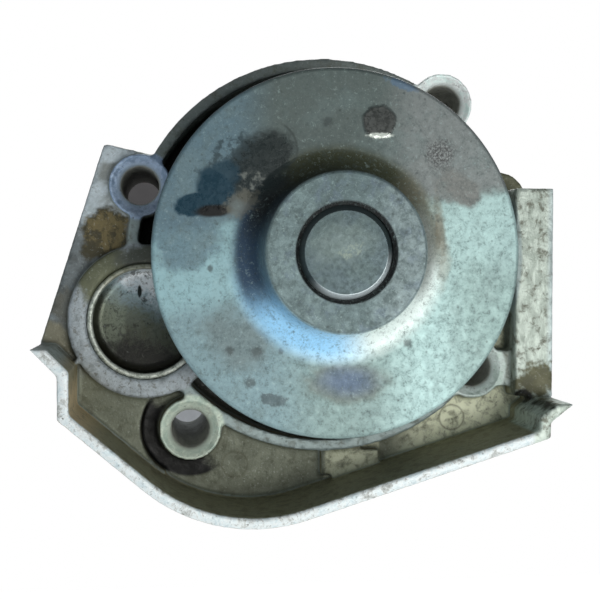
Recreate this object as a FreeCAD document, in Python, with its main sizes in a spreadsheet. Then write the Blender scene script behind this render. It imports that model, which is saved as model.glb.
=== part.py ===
import FreeCAD, Part
import math
import os
import re

import Sketcher

# A belt-driven coolant pump. The shaft axis is the Y axis, the pulley faces -Y and +Z is up.
# The origin is on the shaft axis in the plane of the rear mounting face, so a "height" below
# is a distance from that face towards the pulley, which is -Y. All sizes are in millimetres.

Vector = FreeCAD.Vector
towardsPulley = FreeCAD.Rotation(Vector(1, 0, 0), 90)

drivingSizes = {
    # heights above the mounting face
    "chamberDepth": 15.0,
    "bulkheadThickness": 5.5,
    "weepGap": 3.5,
    "bearingLength": 29.0,
    "wellFloorHeight": 27.0,
    "plateBackHeight": 32.0,
    "plateThickness": 3.5,
    "leftFloorRise": 1.9,
    "bossHeight": 39.5,
    "plugBossHeight": 39.8,
    "bandHeight": 42.0,
    "skirtHeight": 55.0,
    "pulleyFrontHeight": 58.0,
    "rearFlangeHeight": 24.0,
    # drum, well and tower
    "ringOuterRadius": 37.4,
    "ringWall": 2.2,
    "towerWall": 4.5,
    # the plate's outline, from its top left corner round to its top right one
    "plateTopLeftX": -41.6,
    "plateTopLeftZ": 21.0,
    "plateTopInnerX": -30.0,
    "plateTopInnerZ": 18.4,
    "leftEarX": -53.5,
    "leftEarZ": -16.7,
    "leftNotchX": -48.8,
    "leftNotchTopZ": -21.5,
    "leftNotchLowZ": -29.1,
    "skirtCornerX": -21.0,
    "skirtCornerZ": -52.6,
    "skirtCornerRadius": 31.0,
    "rightEarReach": 4.5,
    "rightCornerZ": -33.4,
    "rightNotchZ": -30.5,
    "rightEarZ": -27.0,
    "plateTopRightZ": 13.1,
    "plateTopShare": 0.8,
    "skirtWall": 2.2,
    "bandClearance": 4.1,
    "bandWidth": 7.7,
    "bridgeLeftX": -0.3,
    "bridgeWidth": 11.3,
    "leftFloorEndX": -30.0,
    "leftFloorEndRise": 9.6,
    "footReach": 5.0,
    "bossRecess": 3.4,
    # bolt bosses
    "boltHoleRadius": 3.5,
    "boltBossWall": 2.4,
    "upperLeftX": -34.8,
    "upperLeftZ": 13.0,
    "upperRightX": 22.8,
    "upperRightZ": 29.2,
    "lowerLeftX": -25.4,
    "lowerLeftZ": -32.9,
    "lowerRightX": 29.2,
    "lowerRightZ": -21.7,
    "bossChamfer": 0.8,
    "bossLip": 0.7,
    "bossSink": 0.5,
    # discharge port and core plug
    "portX": -33.8,
    "portZ": -12.5,
    "portRadius": 9.8,
    "plugSeatRadius": 10.9,
    "plugSeatDepth": 8.0,
    "plugBossWall": 3.6,
    "plugSheet": 1.1,
    "plugDish": 4.0,
    # rear lobes
    "lobeX": 38.6,
    "lobeZ": 11.9,
    "lowerLobeZ": -16.0,
    "lobeRadius": 5.8,
    "ribThickness": 2.5,
    "ribFoot": 14.0,
    "leftRibInset": 7.0,
    "rightRibReach": 3.0,
    # impeller chamber
    "chamberRadius": 27.0,
    "voluteShift": 1.6,
    "channelWidth": 11.0,
    "channelDepth": 12.0,
    "channelFloor": 4.0,
    "grooveLand": 2.2,
    "grooveWidth": 2.0,
    "grooveDepth": 1.8,
    "gasketClearance": 0.1,
    "portLand": 1.2,
    "weepHoleRadius": 2.0,
    # bearing and shaft
    "bearingRadius": 15.0,
    "towerSetback": 0.5,
    "shaftRadius": 7.959,
    "shaftFrontRecess": 0.5,
    "shaftChamfer": 0.9,
    "shaftStepRise": 1.0,
    "shaftEndEase": 0.5,
    "sealShaftRadius": 6.35,
    "rollingClearance": 0.12,
    "ballCount": 8,
    "ballRadius": 2.68,
    "ballRowInset": 7.0,
    "rollerCount": 10,
    "rollerRadius": 2.2,
    "rollerLength": 8.0,
    "rollerRowInset": 8.0,
    "cageWall": 1.5,
    "cageMargin": 1.3,
    "bearingSealThickness": 1.4,
    "bearingSealInset": 0.4,
    "lipClearance": 0.08,
    # pulley
    "pulleyRadius": 32.5,
    "pulleyWidth": 16.7,
    "pulleyWeb": 3.0,
    "pulleyRimWall": 2.5,
    "pulleyEdgeRound": 0.7,
    "hubFaceRadius": 13.75,
    "hubRise": 9.9,
    "hubBackRadius": 12.5,
    "hubBackGap": 1.5,
    "hubBackRise": 1.0,
    "hubConeWidth": 2.0,
    "flareRadius": 8.6,
    "flareFootRadius": 21.0,
    "hubBoreChamfer": 0.65,
    # shaft seal
    "sealSeatRadius": 13.0,
    "caseInset": 0.4,
    "caseSheet": 0.8,
    "caseFlangeRadius": 15.6,
    "caseLipRadius": 9.4,
    "carbonInnerRadius": 7.9,
    "carbonOuterRadius": 10.6,
    "carbonLength": 3.0,
    "sealFaceHeight": 11.9,
    "sealFaceFilm": 0.04,
    "matingLength": 2.4,
    "matingProud": 0.5,
    "matingOuterRadius": 11.2,
    "cupWall": 1.2,
    "sleeveWall": 0.5,
    "sleeveLength": 11.0,
    "springTurns": 3.0,
    "springWire": 0.8,
    "springSeatRise": 0.6,
    "springSeatDrop": 0.2,
    "springRadius": 11.15,
    "bellowsWall": 0.7,
    # impeller
    "impellerRadius": 25.0,
    "impellerInset": 1.2,
    "impellerDisc": 2.0,
    "vaneHeight": 5.6,
    "vaneCount": 7,
    "vaneThickness": 1.8,
    "vaneRootRadius": 11.0,
    "vaneSweep": 48.0,
    "vaneMiddleShare": 0.42,
    "vaneTaper": 6.0,
    "vaneTipInset": 0.3,
    "impellerHubRadius": 9.6,
    "impellerHubEase": 1.0,
    "bushWall": 1.4,
    # how far a cutting tool runs past the face that it cuts
    "overcut": 1.0,
}

doc = FreeCAD.newDocument("WaterPump")
sheet = doc.addObject("Spreadsheet::Sheet", "Sizes")
for row, (alias, value) in enumerate(drivingSizes.items(), start=1):
    sheet.set(f"A{row}", alias)
    sheet.set(f"B{row}", str(value))
    sheet.setAlias(f"B{row}", alias)
doc.recompute()


def sized(formula):
    """The formula with each driving size's name turned into its cell."""
    def cell(found):
        return f"Sizes.{found[0]}" if found[0] in drivingSizes else found[0]
    return re.sub(r"[A-Za-z]+", cell, str(formula))


def valueOf(formula):
    return float(sheet.evalExpression(sized(formula)))


def bind(item, **formulas):
    for name, formula in formulas.items():
        item.setExpression(name.replace("_", "."), sized(formula))
    return item


def place(item, x=0, z=0, height=0):
    """Stands an item at (x, z), its own Z axis pointing from the mounting face to the pulley."""
    item.Placement = FreeCAD.Placement(Vector(), towardsPulley)
    return bind(item, Placement_Base_x=x, Placement_Base_y=f"-({height})", Placement_Base_z=z)


# ---- heights that follow from the driving sizes

bulkheadTop = "(chamberDepth + bulkheadThickness)"
bearingBack = f"({bulkheadTop} + weepGap)"
bearingFront = f"({bearingBack} + bearingLength)"
towerHeight = f"({bearingFront} - towerSetback)"
plateTop = "(plateBackHeight + plateThickness)"
leftFloor = f"({plateTop} + leftFloorRise)"
hubFront = "(pulleyFrontHeight + hubRise)"
ringInner = "(ringOuterRadius - ringWall)"
boltBossRadius = "(boltHoleRadius + boltBossWall)"
plugBossRadius = "(plugSeatRadius + plugBossWall)"
raceRadius = "(shaftRadius + 2 * (rollerRadius + rollingClearance))"
trackRadius = f"((shaftRadius + {raceRadius}) / 2)"
impellerTop = "(impellerInset + vaneHeight + impellerDisc)"
ballRow = f"({bearingFront} - ballRowInset)"
rollerRow = f"({bearingBack} + rollerRowInset)"
pocketReach = "(cageWall + cageWall / 2)"
bandLeft = "(pulleyRadius + bandClearance)"
rightEar = f"({bandLeft} + bandWidth)"
rightCorner = f"({rightEar} - rightEarReach)"
drumFoot = "(-ringOuterRadius - footReach)"

bolts = ["upperLeft", "upperRight", "lowerLeft", "lowerRight"]
springStepsInTurn = 20


# ---- ways of making a solid

def cylinder(name, radius, low, high, x=0, z=0):
    solid = place(doc.addObject("Part::Cylinder", name), x, z, low)
    return bind(solid, Radius=radius, Height=f"({high}) - ({low})")


def cone(name, lowRadius, highRadius, low, high, x=0, z=0):
    solid = place(doc.addObject("Part::Cone", name), x, z, low)
    return bind(solid, Radius1=lowRadius, Radius2=highRadius, Height=f"({high}) - ({low})")


def block(name, x, z, low, high):
    """A box between the two values of x, of z and of height."""
    solid = doc.addObject("Part::Box", name)
    bind(solid, Length=f"({x[1]}) - ({x[0]})")
    bind(solid, Width=f"({high}) - ({low})")
    bind(solid, Height=f"({z[1]}) - ({z[0]})")
    return bind(solid, Placement_Base_x=x[0], Placement_Base_y=f"-({high})", Placement_Base_z=z[0])


def fused(name, *items):
    solid = doc.addObject("Part::MultiFuse", name)
    solid.Shapes = list(items)
    solid.Refine = True
    return solid


def cut(name, base, *tools):
    solid = doc.addObject("Part::Cut", name)
    solid.Base = base
    solid.Tool = tools[0] if len(tools) == 1 else fused(f"{name}Tools", *tools)
    solid.Refine = True
    return solid


def common(name, first, second):
    solid = doc.addObject("Part::Common", name)
    solid.Base = first
    solid.Tool = second
    return solid


def pin(sketch, geometry, point, x, y):
    """Holds one point of a sketch at (x, y)."""
    for kind, formula in (("DistanceX", x), ("DistanceY", y)):
        at = sketch.addConstraint(Sketcher.Constraint(kind, -1, 1, geometry, point, valueOf(formula)))
        sketch.setExpression(f"Constraints[{at}]", sized(formula))


def drawOutline(sketch, corners):
    """A closed outline. Each corner is (x, y), or (x, y, radius) where it is rounded."""
    points = [Vector(valueOf(c[0]), valueOf(c[1])) for c in corners]
    ends = []
    for i, corner in enumerate(corners):
        before = (points[i - 1] - points[i]).normalize()
        after = (points[(i + 1) % len(points)] - points[i]).normalize()
        setback = 0.0
        if len(corner) == 3:
            setback = valueOf(corner[2]) / math.tan(before.getAngle(after) / 2)
        ends.append((points[i] + before * setback, points[i] + after * setback))
    lines = []
    for i in range(len(corners)):
        following = (i + 1) % len(corners)
        lines.append(sketch.addGeometry(Part.LineSegment(ends[i][1], ends[following][0])))
    for i, corner in enumerate(corners):
        if len(corner) == 2:
            sketch.addConstraint(Sketcher.Constraint("Coincident", lines[i - 1], 2, lines[i], 1))
            pin(sketch, lines[i], 1, corner[0], corner[1])
            continue
        virtual = sketch.addGeometry(Part.Point(points[i]), True)
        pin(sketch, virtual, 1, corner[0], corner[1])
        for line in (lines[i - 1], lines[i]):
            sketch.addConstraint(Sketcher.Constraint("PointOnObject", virtual, 1, line))
        chord = (ends[i][0] + ends[i][1]) / 2
        centre = points[i] + (chord - points[i]).normalize() * (
            math.hypot(valueOf(corner[2]), (ends[i][0] - points[i]).Length))
        leftTurn = (points[i] - points[i - 1]).cross(points[(i + 1) % len(points)] - points[i]).z > 0
        first, last = (ends[i] if leftTurn else ends[i][::-1])
        angles = [math.atan2(p.y - centre.y, p.x - centre.x) for p in (first, last)]
        circle = Part.Circle(centre, Vector(0, 0, 1), valueOf(corner[2]))
        arc = sketch.addGeometry(Part.ArcOfCircle(circle, angles[0], angles[1]))
        arcStart, arcEnd = (1, 2) if leftTurn else (2, 1)
        sketch.addConstraint(Sketcher.Constraint("Tangent", lines[i - 1], 2, arc, arcStart))
        sketch.addConstraint(Sketcher.Constraint("Tangent", arc, arcEnd, lines[i], 1))
        at = sketch.addConstraint(Sketcher.Constraint("Radius", arc, valueOf(corner[2])))
        sketch.setExpression(f"Constraints[{at}]", sized(corner[2]))


def prism(name, corners, low, high):
    """An outline in X and Z, raised from one height to another."""
    sketch = place(doc.addObject("Sketcher::SketchObject", f"{name}Outline"), height=low)
    drawOutline(sketch, corners)
    return raised(name, sketch, low, high)


def raised(name, face, low, high):
    solid = doc.addObject("Part::Extrusion", name)
    solid.Base = face
    solid.DirMode = "Normal"
    solid.Solid = True
    return bind(solid, LengthFwd=f"({high}) - ({low})")


def planeOf(body, role):
    return next(plane for plane in body.Origin.OriginFeatures if plane.Role == role)


def turned(label, corners, x=0, z=0):
    """A piece turned about its axis, from an outline of (radius, height) corners."""
    body = doc.addObject("PartDesign::Body", label)
    sketch = body.newObject("Sketcher::SketchObject", f"{label}Profile")
    sketch.AttachmentSupport = [(planeOf(body, "XY_Plane"), "")]
    sketch.MapMode = "FlatFace"
    drawOutline(sketch, [(c[0], f"-({c[1]})", *c[2:]) for c in corners])
    turn = body.newObject("PartDesign::Revolution", f"{label}Turned")
    turn.Profile = sketch
    turn.ReferenceAxis = (sketch, ["V_Axis"])
    turn.Angle = 360
    bind(body, Placement_Base_x=x, Placement_Base_z=z)
    doc.recompute()
    return body


def ring(label, inner, outer, low, high, x=0, z=0):
    return turned(label, [(inner, low), (outer, low), (outer, high), (inner, high)], x, z)


pieces = {}


def keep(node, item):
    item.Label = node
    pieces[node] = item
    return item


# ---- housing

plateCorners = [
    ("plateTopLeftX", "plateTopLeftZ", "bossChamfer"),
    ("leftEarX", "leftEarZ"),
    ("leftNotchX", "leftNotchTopZ"),
    ("leftNotchX", "leftNotchLowZ"),
    ("skirtCornerX", "skirtCornerZ", "skirtCornerRadius"),
    (rightCorner, "rightCornerZ"),
    (rightCorner, "rightNotchZ"),
    (rightEar, "rightEarZ"),
    (rightEar, "plateTopRightZ"),
    ("ringOuterRadius * plateTopShare", "plateTopRightZ"),
    ("plateTopInnerX", "plateTopInnerZ"),
]


def skirt():
    """The wall that stands round the lower edge of the plate, from ear to ear."""
    outer = prism("skirtOuter", plateCorners, "plateBackHeight", "skirtHeight")
    inside = doc.addObject("Part::Offset2D", "skirtInside")
    inside.Source = doc.getObject("skirtOuterOutline")
    inside.Join = "Intersection"
    bind(inside, Value="-skirtWall")
    hollow = raised("skirtHollow", inside, "plateBackHeight", "skirtHeight + overcut")
    wall = cut("skirtRing", outer, hollow)
    below, top = "skirtCornerZ - overcut", "skirtHeight + overcut"
    left = block("skirtLeftHalf", ("leftEarX - overcut", 0), (below, "leftEarZ"), 0, top)
    right = block("skirtRightHalf", (0, f"{rightEar} + overcut"), (below, "rightEarZ"), 0, top)
    return common("skirtWallSolid", wall, fused("skirtReach", left, right))


def flangePlate():
    """Everything outside the pulley's well: plate, raised floors, band, skirt and ribs."""
    plate = prism("plate", plateCorners, "plateBackHeight", plateTop)
    leftCorners = [
        ("plateTopLeftX", "plateTopLeftZ", "bossChamfer"),
        ("leftEarX", "leftEarZ"),
        ("leftNotchX", "leftNotchTopZ"),
        ("leftNotchX", "leftNotchLowZ"),
        ("leftFloorEndX", "skirtCornerZ + leftFloorEndRise"),
        ("leftFloorEndX", "plateTopInnerZ"),
    ]
    leftRise = prism("leftRise", leftCorners, "plateBackHeight", leftFloor)
    recess = cylinder("bossRecessCut", f"{boltBossRadius} + bossRecess", plateTop, "bossHeight + overcut",
                      "lowerLeftX", "lowerLeftZ")
    acrossBridge = ("bridgeLeftX", "bridgeLeftX + bridgeWidth")
    bridge = block("bridge", acrossBridge, (drumFoot, "-ringOuterRadius"), "plateBackHeight", leftFloor)
    upBand = ("rightEarZ", "plateTopRightZ")
    band = block("band", (bandLeft, rightEar), upBand, "plateBackHeight", "bandHeight")
    upLug = ("lowerRightZ - boltHoleRadius", "lowerRightZ + boltHoleRadius")
    lug = block("lug", ("lowerRightX", bandLeft), upLug, "plateBackHeight", "bossHeight")
    lowerRibX = "bridgeLeftX + bridgeWidth / 2"
    intoRing = "-ringOuterRadius + ringWall / 2"
    rightRibX = "lowerRightX - boltHoleRadius"
    ribs = [
        block("lowerRib", (lowerRibX, f"{lowerRibX} + ribThickness"), (drumFoot, intoRing), "ribFoot",
              plateTop),
        block("leftRib", ("leftEarX + leftRibInset", intoRing), (0, "ribThickness"), "ribFoot", plateTop),
        block("rightRib", (rightRibX, f"{rightRibX} + ribThickness"),
              ("rightCornerZ - rightRibReach", "lowerRightZ"), "ribFoot", plateTop),
    ]
    return fused("flange", plate, cut("leftFloorSolid", leftRise, recess), bridge, band, lug, skirt(), *ribs)


def rearFlange():
    """The low flange on the right that carries the mounting face out past the drum."""
    upper = cylinder("upperLobe", "lobeRadius", 0, "rearFlangeHeight", "lobeX", "lobeZ")
    lower = cylinder("lowerLobe", "lobeRadius", 0, "rearFlangeHeight", "lobeX", "lowerLobeZ")
    between = block("lobeWeb", ("lobeX - lobeRadius * 2", "lobeX + lobeRadius"), ("lowerLobeZ", "lobeZ"), 0,
                    "rearFlangeHeight")
    return fused("rearFlangeSolid", upper, lower, between)


def boltHole(name):
    """A bolt's clearance hole through its column, with a chamfered mouth."""
    x, z = f"{name}X", f"{name}Z"
    hole = cylinder(f"{name}Hole", "boltHoleRadius", "-overcut", "bossHeight + overcut", x, z)
    mouth = cone(f"{name}Mouth", "boltHoleRadius", "boltHoleRadius + bossChamfer",
                 "bossHeight - bossSink - bossChamfer", "bossHeight - bossSink", x, z)
    sink = cylinder(f"{name}Sink", f"{boltBossRadius} - bossLip", "bossHeight - bossSink",
                    "bossHeight + overcut", x, z)
    return fused(f"{name}Bore", hole, mouth, sink)


def grooveRound(name, extraChamber, extraPort, depth):
    """The figure-of-eight round the chamber and the port, grown by a margin."""
    return fused(name,
                 cylinder(f"{name}Chamber", f"chamberRadius + voluteShift + {extraChamber}", 0, depth),
                 cylinder(f"{name}Port", f"portRadius + {extraPort}", 0, depth, "portX", "portZ"))


def gasketShape(name, side, depth):
    """The groove's own section, or the gasket's when it stands clear of the groove's sides."""
    outside = grooveRound(f"{name}Outside", f"grooveLand + grooveWidth - ({side})",
                          f"portLand + grooveWidth - ({side})", depth)
    inside = grooveRound(f"{name}Inside", f"grooveLand + ({side})", f"portLand + ({side})", depth)
    return cut(name, outside, inside)


def housing():
    drum = cylinder("drum", "ringOuterRadius", 0, "bossHeight")
    outside = fused("outside", drum, flangePlate(), rearFlange())
    well = cylinder("well", ringInner, "wellFloorHeight", "skirtHeight + overcut")
    standing = [cylinder("tower", "bearingRadius + towerWall", 0, towerHeight)]
    standing.append(cylinder("plugBoss", plugBossRadius, 0, "plugBossHeight", "portX", "portZ"))
    for name in bolts:
        standing.append(cylinder(f"{name}Boss", boltBossRadius, 0, "bossHeight", f"{name}X", f"{name}Z"))
    welled = cut("welled", outside, well)
    # its faces are tidied with the casting's, once
    welled.Refine = False
    casting = fused("casting", welled, *standing)
    seatFloor = "plugBossHeight - plugSeatDepth"
    mouthFoot = "plugBossHeight - bossChamfer / 2"
    upChannel = ("portZ - channelWidth / 2", "portZ + channelWidth / 2")
    weep = doc.addObject("Part::Cylinder", "weepHole")
    bind(weep, Radius="weepHoleRadius", Height="ringOuterRadius + overcut")
    bind(weep, Placement_Base_y=f"-({bulkheadTop} + weepGap / 2)")
    bind(weep, Placement_Base_z="-ringOuterRadius - overcut")
    tools = [boltHole(name) for name in bolts]
    tools += [
        cylinder("portBore", "portRadius", "-overcut", f"{seatFloor} + overcut", "portX", "portZ"),
        cylinder("plugSeat", "plugSeatRadius", seatFloor, "plugBossHeight + overcut", "portX", "portZ"),
        cone("plugMouth", "plugSeatRadius", "plugSeatRadius + bossChamfer / 2", mouthFoot, "plugBossHeight",
             "portX", "portZ"),
        cylinder("bearingSeat", "bearingRadius", bearingBack, f"{bearingFront} + overcut"),
        cylinder("sealSeat", "sealSeatRadius", "chamberDepth - overcut", f"{bearingBack} + weepGap / 2"),
        cylinder("chamber", "chamberRadius", "-overcut", "chamberDepth"),
        cylinder("volute", "chamberRadius", "-overcut", "channelDepth", "-voluteShift"),
        block("channel", ("portX", 0), upChannel, "channelFloor", "channelDepth"),
        gasketShape("gasketGroove", 0, "grooveDepth"),
        weep,
    ]
    return keep("pump_housing", cut("housingSolid", casting, *tools))


housing()


# ---- core plug and gasket

def corePlug():
    """A cup-type core plug, open to the front."""
    lip = "(plugBossHeight - bossChamfer / 2)"
    floor = f"({lip} - plugDish)"
    corners = [
        (0, f"{floor} - plugSheet"),
        ("plugSeatRadius", f"{floor} - plugSheet", "plugSheet"),
        ("plugSeatRadius", lip),
        ("plugSeatRadius - plugSheet", lip),
        ("plugSeatRadius - plugSheet", floor),
        (0, floor),
    ]
    return keep("core_plug", turned("corePlug", corners, "portX", "portZ"))


corePlug()
keep("face_gasket", gasketShape("faceGasket", "gasketClearance", "grooveDepth"))


# ---- rotor

def pumpShaft():
    """A stepped shaft with the inner ball race ground into it."""
    front = f"({hubFront} - shaftFrontRecess)"
    step = f"({bearingBack} - shaftStepRise)"
    body = turned("pumpShaft", [
        (0, "impellerInset"),
        ("sealShaftRadius - shaftEndEase", "impellerInset"),
        ("sealShaftRadius", "impellerInset + shaftEndEase"),
        ("sealShaftRadius", step),
        ("shaftRadius", bearingBack),
        ("shaftRadius", f"{front} - shaftChamfer"),
        ("shaftRadius - shaftChamfer", front),
        (0, front),
    ])
    return keep("pump_shaft", cut("shaftSolid", body, ballTrack("shaftTrack")))


def ballTrack(name):
    torus = place(doc.addObject("Part::Torus", name), height=ballRow)
    return bind(torus, Radius1=trackRadius, Radius2="ballRadius + rollingClearance")


def drivePulley():
    """A smooth pressed pulley: rim, web and a hub that flares out of the web."""
    rimInner = "(pulleyRadius - pulleyRimWall)"
    webBack = "(pulleyFrontHeight - pulleyWeb)"
    rimBack = "(pulleyFrontHeight - pulleyWidth)"
    hubBack = f"({bearingFront} + hubBackGap)"
    corners = [
        ("shaftRadius", hubBack),
        ("hubBackRadius", hubBack),
        ("hubBackRadius", f"min({webBack}; {hubBack} + hubBackRise)"),
        ("hubBackRadius + hubConeWidth", webBack),
        (rimInner, webBack, "pulleyRimWall / 2"),
        (rimInner, rimBack),
        ("pulleyRadius", rimBack, "pulleyEdgeRound"),
        ("pulleyRadius", "pulleyFrontHeight", "pulleyEdgeRound"),
        ("hubFaceRadius", "pulleyFrontHeight", "flareRadius"),
        ("hubFaceRadius", hubFront, "pulleyEdgeRound / 2"),
        ("shaftRadius + hubBoreChamfer", hubFront),
        ("shaftRadius", f"{hubFront} - hubBoreChamfer"),
    ]
    return keep("drive_pulley", turned("drivePulley", corners))


def around(count, make, reach=trackRadius):
    """Solids from make(name ending, angle), at even steps round the shaft axis and at a reach from it."""
    solids = []
    for i in range(int(drivingSizes[count])):
        angle = 360.0 / drivingSizes[count] * i
        solid = make(i, angle)
        bind(solid, Placement_Base_x=f"{reach} * cos({angle})")
        bind(solid, Placement_Base_z=f"-{reach} * sin({angle})")
        solids.append(solid)
    return solids


def ball(i, angle):
    solid = doc.addObject("Part::Sphere", f"ball{i}")
    return bind(solid, Radius="ballRadius", Placement_Base_y=f"-{ballRow}")


def ballPocket(i, angle):
    """A round hole through the cage, pointing outwards."""
    solid = doc.addObject("Part::Cylinder", f"ballPocket{i}")
    turn = FreeCAD.Rotation(Vector(0, 1, 0), angle + 90)
    solid.Placement = FreeCAD.Placement(Vector(), turn)
    bind(solid, Radius="ballRadius + rollingClearance", Height=f"2 * {pocketReach}")
    return bind(solid, Placement_Base_y=f"-{ballRow}")


def roller(prefix, growth):
    """A maker of rollers, or of the pockets that they turn in."""
    radius = f"(rollerRadius + {growth})"
    length = f"(rollerLength + 2 * {growth})"

    def make(i, angle):
        solid = place(doc.addObject("Part::Cylinder", f"{prefix}{i}"), height=f"{rollerRow} - {length} / 2")
        return bind(solid, Radius=radius, Height=length)
    return make


def rollingBearing():
    """The bearing's ring, its row of balls, its row of rollers, their cages and its two seals."""
    ringSolid = ring("bearingRing", raceRadius, "bearingRadius", bearingBack, bearingFront)
    keep("bearing_outer_ring", cut("bearingRingSolid", ringSolid, ballTrack("ringTrack")))
    keep("bearing_balls", fused("balls", *around("ballCount", ball)))
    keep("bearing_rollers", fused("rollers", *around("rollerCount", roller("roller", "0"))))
    pocketStart = f"({trackRadius} - {pocketReach})"
    ballPockets = fused("ballPockets", *around("ballCount", ballPocket, pocketStart))
    rollerPockets = fused("rollerPockets", *around("rollerCount", roller("rollerPocket", "rollingClearance")))
    cages = (
        ("ball_cage", ballRow, "ballRadius", ballPockets),
        ("roller_cage", rollerRow, "rollerLength / 2", rollerPockets),
    )
    for node, row, half, pockets in cages:
        blank = ring(f"{node}Blank", f"{trackRadius} - cageWall / 2", f"{trackRadius} + cageWall / 2",
                     f"{row} - {half} - cageMargin", f"{row} + {half} + cageMargin")
        keep(node, cut(f"{node}Solid", blank, pockets))
    seals = (
        ("bearing_seal_front", f"{bearingFront} - bearingSealInset - bearingSealThickness"),
        ("bearing_seal_rear", f"{bearingBack} + bearingSealInset"),
    )
    for node, low in seals:
        high = f"{low} + bearingSealThickness"
        keep(node, ring(f"{node}Disc", "shaftRadius + lipClearance", raceRadius, low, high))


def shaftSeal():
    """The mechanical seal: a fixed half in the bulkhead and a half that turns with the impeller."""
    caseFront = f"({bulkheadTop} - caseInset)"
    flange = "(chamberDepth - caseSheet)"
    keep("seal_case", turned("sealCase", [
        ("sealSeatRadius - caseSheet", flange),
        ("caseFlangeRadius", flange),
        ("caseFlangeRadius", "chamberDepth"),
        ("sealSeatRadius", "chamberDepth"),
        ("sealSeatRadius", caseFront),
        ("caseLipRadius", caseFront),
        ("caseLipRadius", f"{caseFront} - caseSheet"),
        ("sealSeatRadius - caseSheet", f"{caseFront} - caseSheet"),
    ]))
    carbonBack = "(sealFaceHeight + sealFaceFilm)"
    carbonFront = f"({carbonBack} + carbonLength)"
    carbon = ring("carbonRing", "carbonInnerRadius", "carbonOuterRadius", carbonBack, carbonFront)
    keep("seal_carbon_ring", carbon)
    bellowsFront = f"({caseFront} - caseSheet)"
    keep("seal_bellows", turned("bellows", [
        ("caseLipRadius - bellowsWall * 2", carbonFront),
        ("carbonOuterRadius - bellowsWall", carbonFront),
        ("caseLipRadius", f"{carbonFront} + bellowsWall * 2"),
        ("caseLipRadius", bellowsFront),
        ("caseLipRadius - bellowsWall", bellowsFront),
        ("caseLipRadius - bellowsWall", f"{carbonFront} + bellowsWall * 2"),
    ]))
    seatTop = f"({carbonFront} - springSeatDrop)"
    keep("spring_seat", ring("springSeat", "carbonOuterRadius", "carbonOuterRadius + caseSheet",
                             f"{carbonBack} + springSeatRise", seatTop))
    keep("seal_spring", sealSpring(seatTop, bellowsFront))
    matingBack = "(sealFaceHeight - matingLength)"
    mating = ring("matingRing", "carbonInnerRadius", "matingOuterRadius", matingBack, "sealFaceHeight")
    keep("seal_mating_ring", mating)
    sleeveRadius = "(sealShaftRadius + sleeveWall)"
    cupTop = "(sealFaceHeight - matingProud)"
    keep("mating_ring_cup", turned("matingCup", [
        (sleeveRadius, impellerTop),
        ("matingOuterRadius + cupWall", impellerTop),
        ("matingOuterRadius + cupWall", cupTop),
        ("matingOuterRadius", cupTop),
        ("matingOuterRadius", matingBack),
        ("carbonInnerRadius", matingBack),
        ("carbonInnerRadius", cupTop),
        (sleeveRadius, cupTop),
    ]))
    keep("seal_sleeve", ring("sealSleeve", "sealShaftRadius", sleeveRadius, impellerTop,
                             f"{impellerTop} + sleeveLength"))


def sealSpring(low, high):
    """A short compression spring round the bellows: a coil of short straight runs with mitred joints."""
    wire = valueOf("springWire / 2")
    rise = valueOf(f"({high}) - ({low}) - springWire")
    steps = int(drivingSizes["springTurns"] * springStepsInTurn)
    points = []
    for i in range(steps + 1):
        angle = 2 * math.pi * i / springStepsInTurn
        points.append(Vector(drivingSizes["springRadius"] * math.cos(angle),
                             drivingSizes["springRadius"] * math.sin(angle), rise * i / steps))
    section = Part.Wire(Part.makeCircle(wire, points[0], points[1] - points[0]))
    mitred = 1
    spring = doc.addObject("Part::Feature", "spring")
    spring.Shape = Part.makePolygon(points).makePipeShell([section], True, False, mitred)
    return place(spring, height=f"{low} + springWire / 2")


def impeller():
    """An open impeller: disc and hub turned in one, with swept vanes on the rear side."""
    discBack = "(impellerInset + vaneHeight)"
    bushRadius = "(sealShaftRadius + bushWall)"
    hub = turned("impellerHub", [
        (bushRadius, "impellerInset"),
        ("impellerHubRadius - impellerHubEase", "impellerInset"),
        ("impellerHubRadius", "impellerInset + impellerHubEase"),
        ("impellerHubRadius", discBack, "bushWall"),
        ("impellerRadius", discBack),
        ("impellerRadius", impellerTop),
        (bushRadius, impellerTop),
    ])
    vanes = []
    for i in range(int(drivingSizes["vaneCount"])):
        start = f"{i} * 360 / vaneCount"
        vanes.append(vane(f"vane{i}", start, "impellerInset", f"{discBack} + impellerDisc / 2"))
    keep("impeller", fused("impellerSolid", hub, *vanes))
    keep("impeller_bush", ring("impellerBush", "sealShaftRadius", bushRadius, "impellerInset", impellerTop))


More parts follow.
